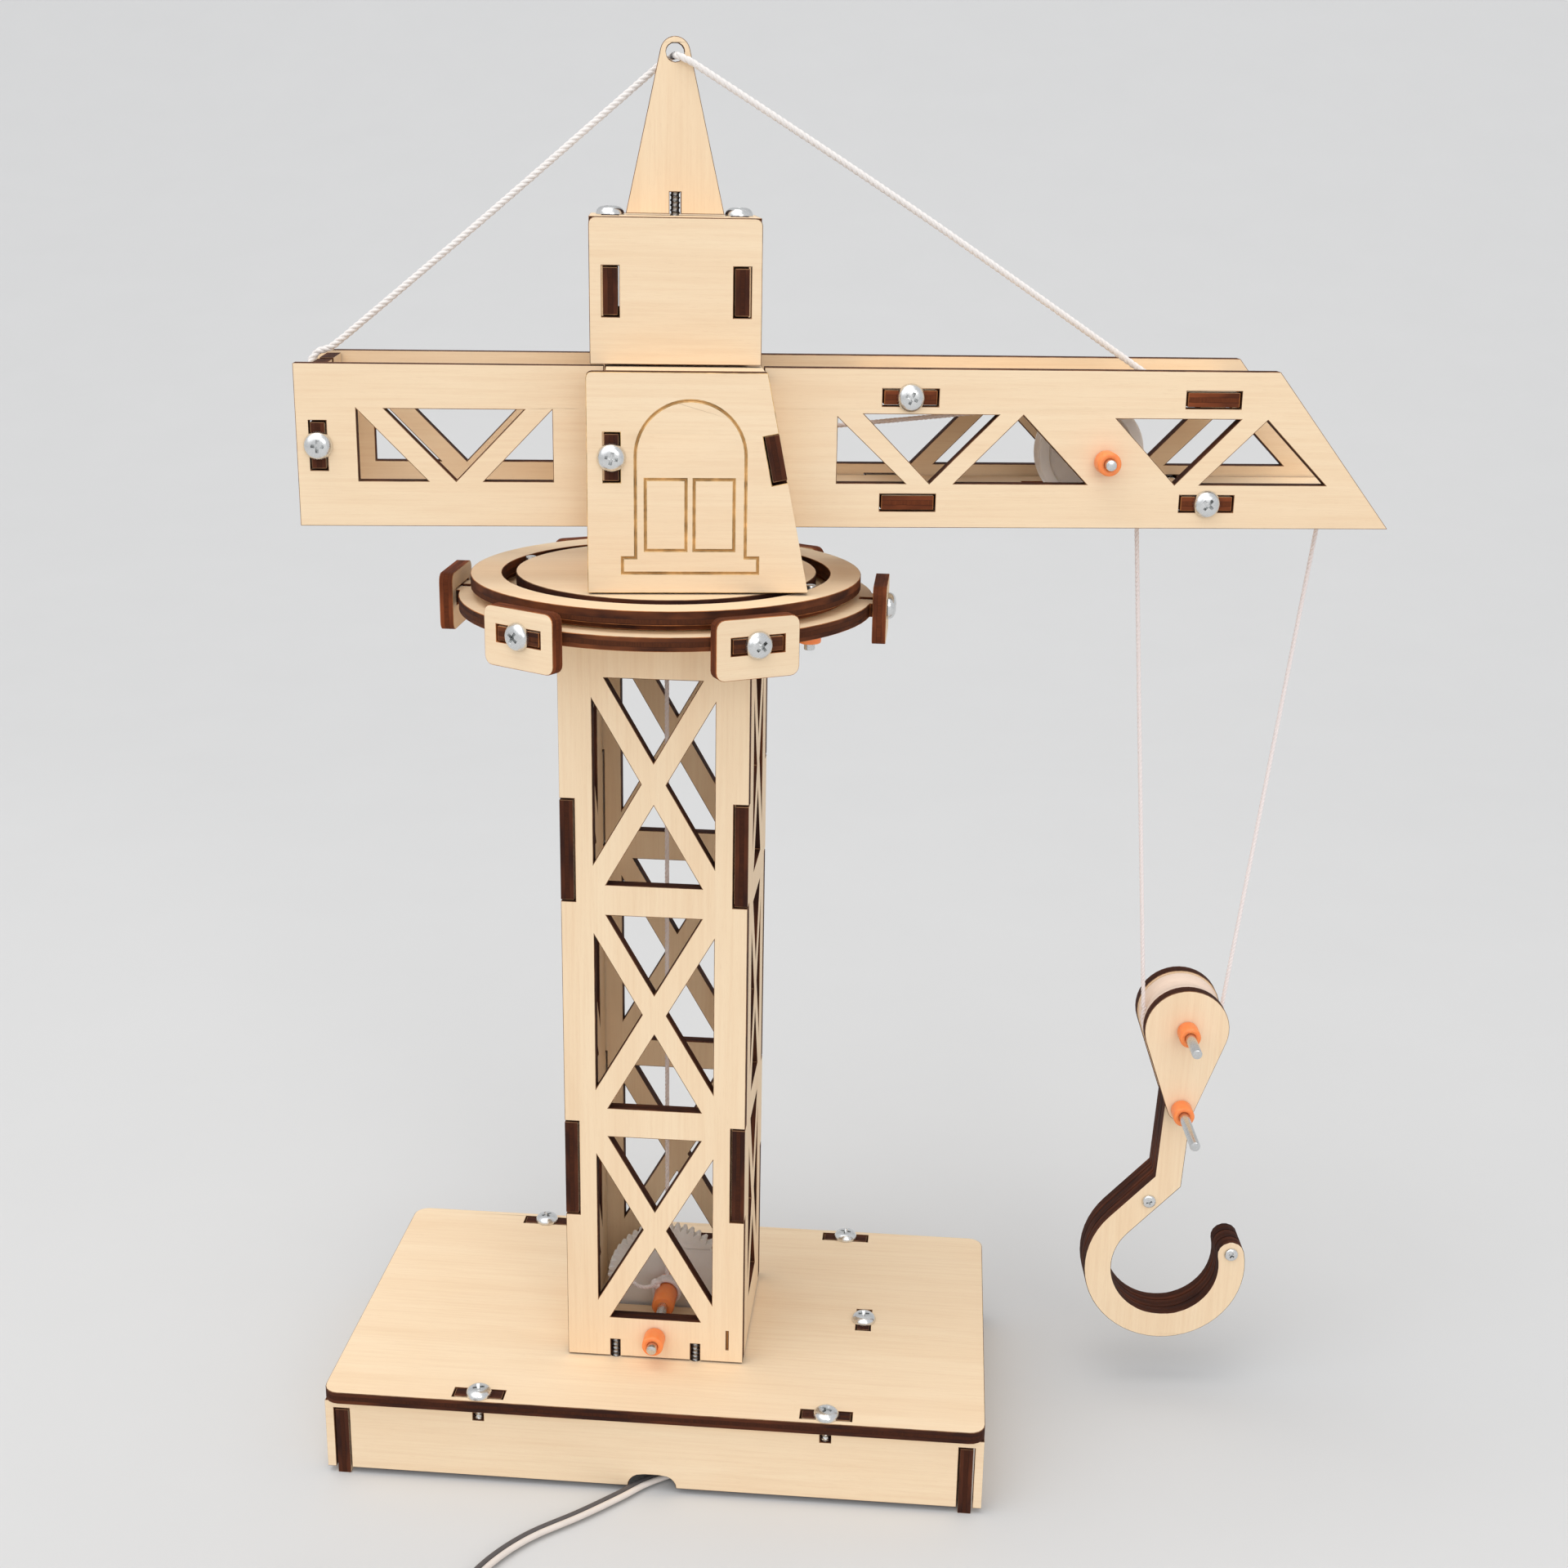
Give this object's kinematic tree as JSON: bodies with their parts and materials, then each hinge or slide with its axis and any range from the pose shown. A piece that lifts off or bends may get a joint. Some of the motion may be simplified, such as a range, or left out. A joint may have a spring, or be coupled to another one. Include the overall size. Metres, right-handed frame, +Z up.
{
  "type": "toy tower crane",
  "caption": "Laser-cut plywood toy tower crane: box base, lattice tower, slewing cabin with a lattice jib, stayed mast, and a string hoist with a hook block.",
  "frame": {"origin": "on the table, at the centre of the box round the crane without its supply cable", "axes": "+X towards the jib's side and along the base's long side, -Y the front with the cable, +Z up; the jib is stored turned 9 degrees anticlockwise from +X"},
  "size_m": [0.2038, 0.1476, 0.2684],
  "materials": {
    "birch_plywood": "pale sanded birch plywood with laser-charred edges",
    "steel": "bright steel pins, with orange plastic collars pressed on",
    "pale_plastic": "pale translucent moulded plastic",
    "white_plastic": "white moulded plug housing",
    "cotton_cord": "off-white braided string",
    "cable": "two thin insulated wires side by side, one pale and one dark grey"
  },
  "bodies": {
    "tower": {"base_top_plate": "birch_plywood", "base_front_panel": "birch_plywood", "base_rear_panel": "birch_plywood", "base_left_panel": "birch_plywood", "base_right_panel": "birch_plywood", "base_cross_rib": "birch_plywood", "tower_front_panel": "birch_plywood", "tower_rear_panel": "birch_plywood", "tower_left_panel": "birch_plywood", "tower_right_panel": "birch_plywood", "ring_lower_plate": "birch_plywood", "ring_upper_plate": "birch_plywood", "ring_clamp_1": "birch_plywood", "ring_clamp_2": "birch_plywood", "ring_clamp_3": "birch_plywood", "ring_clamp_4": "birch_plywood", "ring_clamp_5": "birch_plywood", "ring_clamp_6": "birch_plywood", "ring_pin_1": "steel", "ring_pin_2": "steel", "motor": "steel", "cable": "cable", "cable_coil": "cable", "cable_plug": "white_plastic", "worm": "steel"},
    "winch": {"winch_axle": "steel", "winch_gear": "pale_plastic"},
    "upperworks": {"turntable_disc": "birch_plywood", "turntable_hub": "pale_plastic", "cabin_front_panel": "birch_plywood", "cabin_rear_panel": "birch_plywood", "cabin_left_wall": "birch_plywood", "cabin_right_wall": "birch_plywood", "cabin_roof": "birch_plywood", "jib_front_plate": "birch_plywood", "jib_rear_plate": "birch_plywood", "jib_end_plate": "birch_plywood", "jib_top_plate": "birch_plywood", "jib_floor_plate": "birch_plywood", "jib_pulley_axle": "steel", "guide_axle": "steel", "head_front_plate": "birch_plywood", "head_rear_plate": "birch_plywood", "head_left_wall": "birch_plywood", "head_right_wall": "birch_plywood", "head_top_plate": "birch_plywood", "mast_plate": "birch_plywood", "pendant_cord": "cotton_cord", "hoist_string": "cotton_cord", "hoist_fall_inner": "cotton_cord", "hoist_fall_outer": "cotton_cord"},
    "jib_pulley": {"jib_pulley": "pale_plastic"},
    "block": {"block_front_plate": "birch_plywood", "block_rear_plate": "birch_plywood", "block_axle": "steel", "hook_pin": "steel"},
    "block_pulley": {"block_pulley": "birch_plywood"},
    "hook": {"hook_front_layer": "birch_plywood", "hook_middle_layer": "birch_plywood", "hook_rear_layer": "birch_plywood"}
  },
  "joints": [
    {"name": "slew", "type": "hinge", "parent": "tower", "child": "upperworks", "pos_m": [-0.03294, 0, 0.173], "axis": [0, 0, 1], "range_deg": [-170, 170]},
    {"name": "hoist", "type": "slide", "parent": "upperworks", "child": "block", "axis": [0, 0, 1], "range_m": [0, 0.085], "deforming": ["hoist_fall_inner", "hoist_fall_outer"]},
    {"name": "winch_turn", "type": "hinge", "parent": "tower", "child": "winch", "pos_m": [-0.03294, 0, 0.0243], "axis": [0, 1, 0], "range_deg": [0, 3199]},
    {"name": "jib_pulley_turn", "type": "hinge", "parent": "upperworks", "child": "jib_pulley", "pos_m": [0.044, 0.01219, 0.1978], "axis": [-0.1564, 0.9877, 0], "range_deg": [-1070, 0]},
    {"name": "block_pulley_turn", "type": "hinge", "parent": "block", "child": "block_pulley", "pos_m": [0.06978, 0.01627, 0.08385], "axis": [-0.064, 0.9979, 0], "range_deg": [0, 618]},
    {"name": "hook_swing", "type": "hinge", "parent": "block", "child": "hook", "pos_m": [0.06978, 0.01627, 0.0667], "axis": [-0.064, 0.9979, 0], "range_deg": [-60, 60]}
  ],
  "couplings": [
    {"joint": "winch_turn", "follows": "hoist", "rad_per_m": 655.74},
    {"joint": "jib_pulley_turn", "follows": "hoist", "rad_per_m": -218.58},
    {"joint": "block_pulley_turn", "follows": "hoist", "rad_per_m": 125.79}
  ]
}
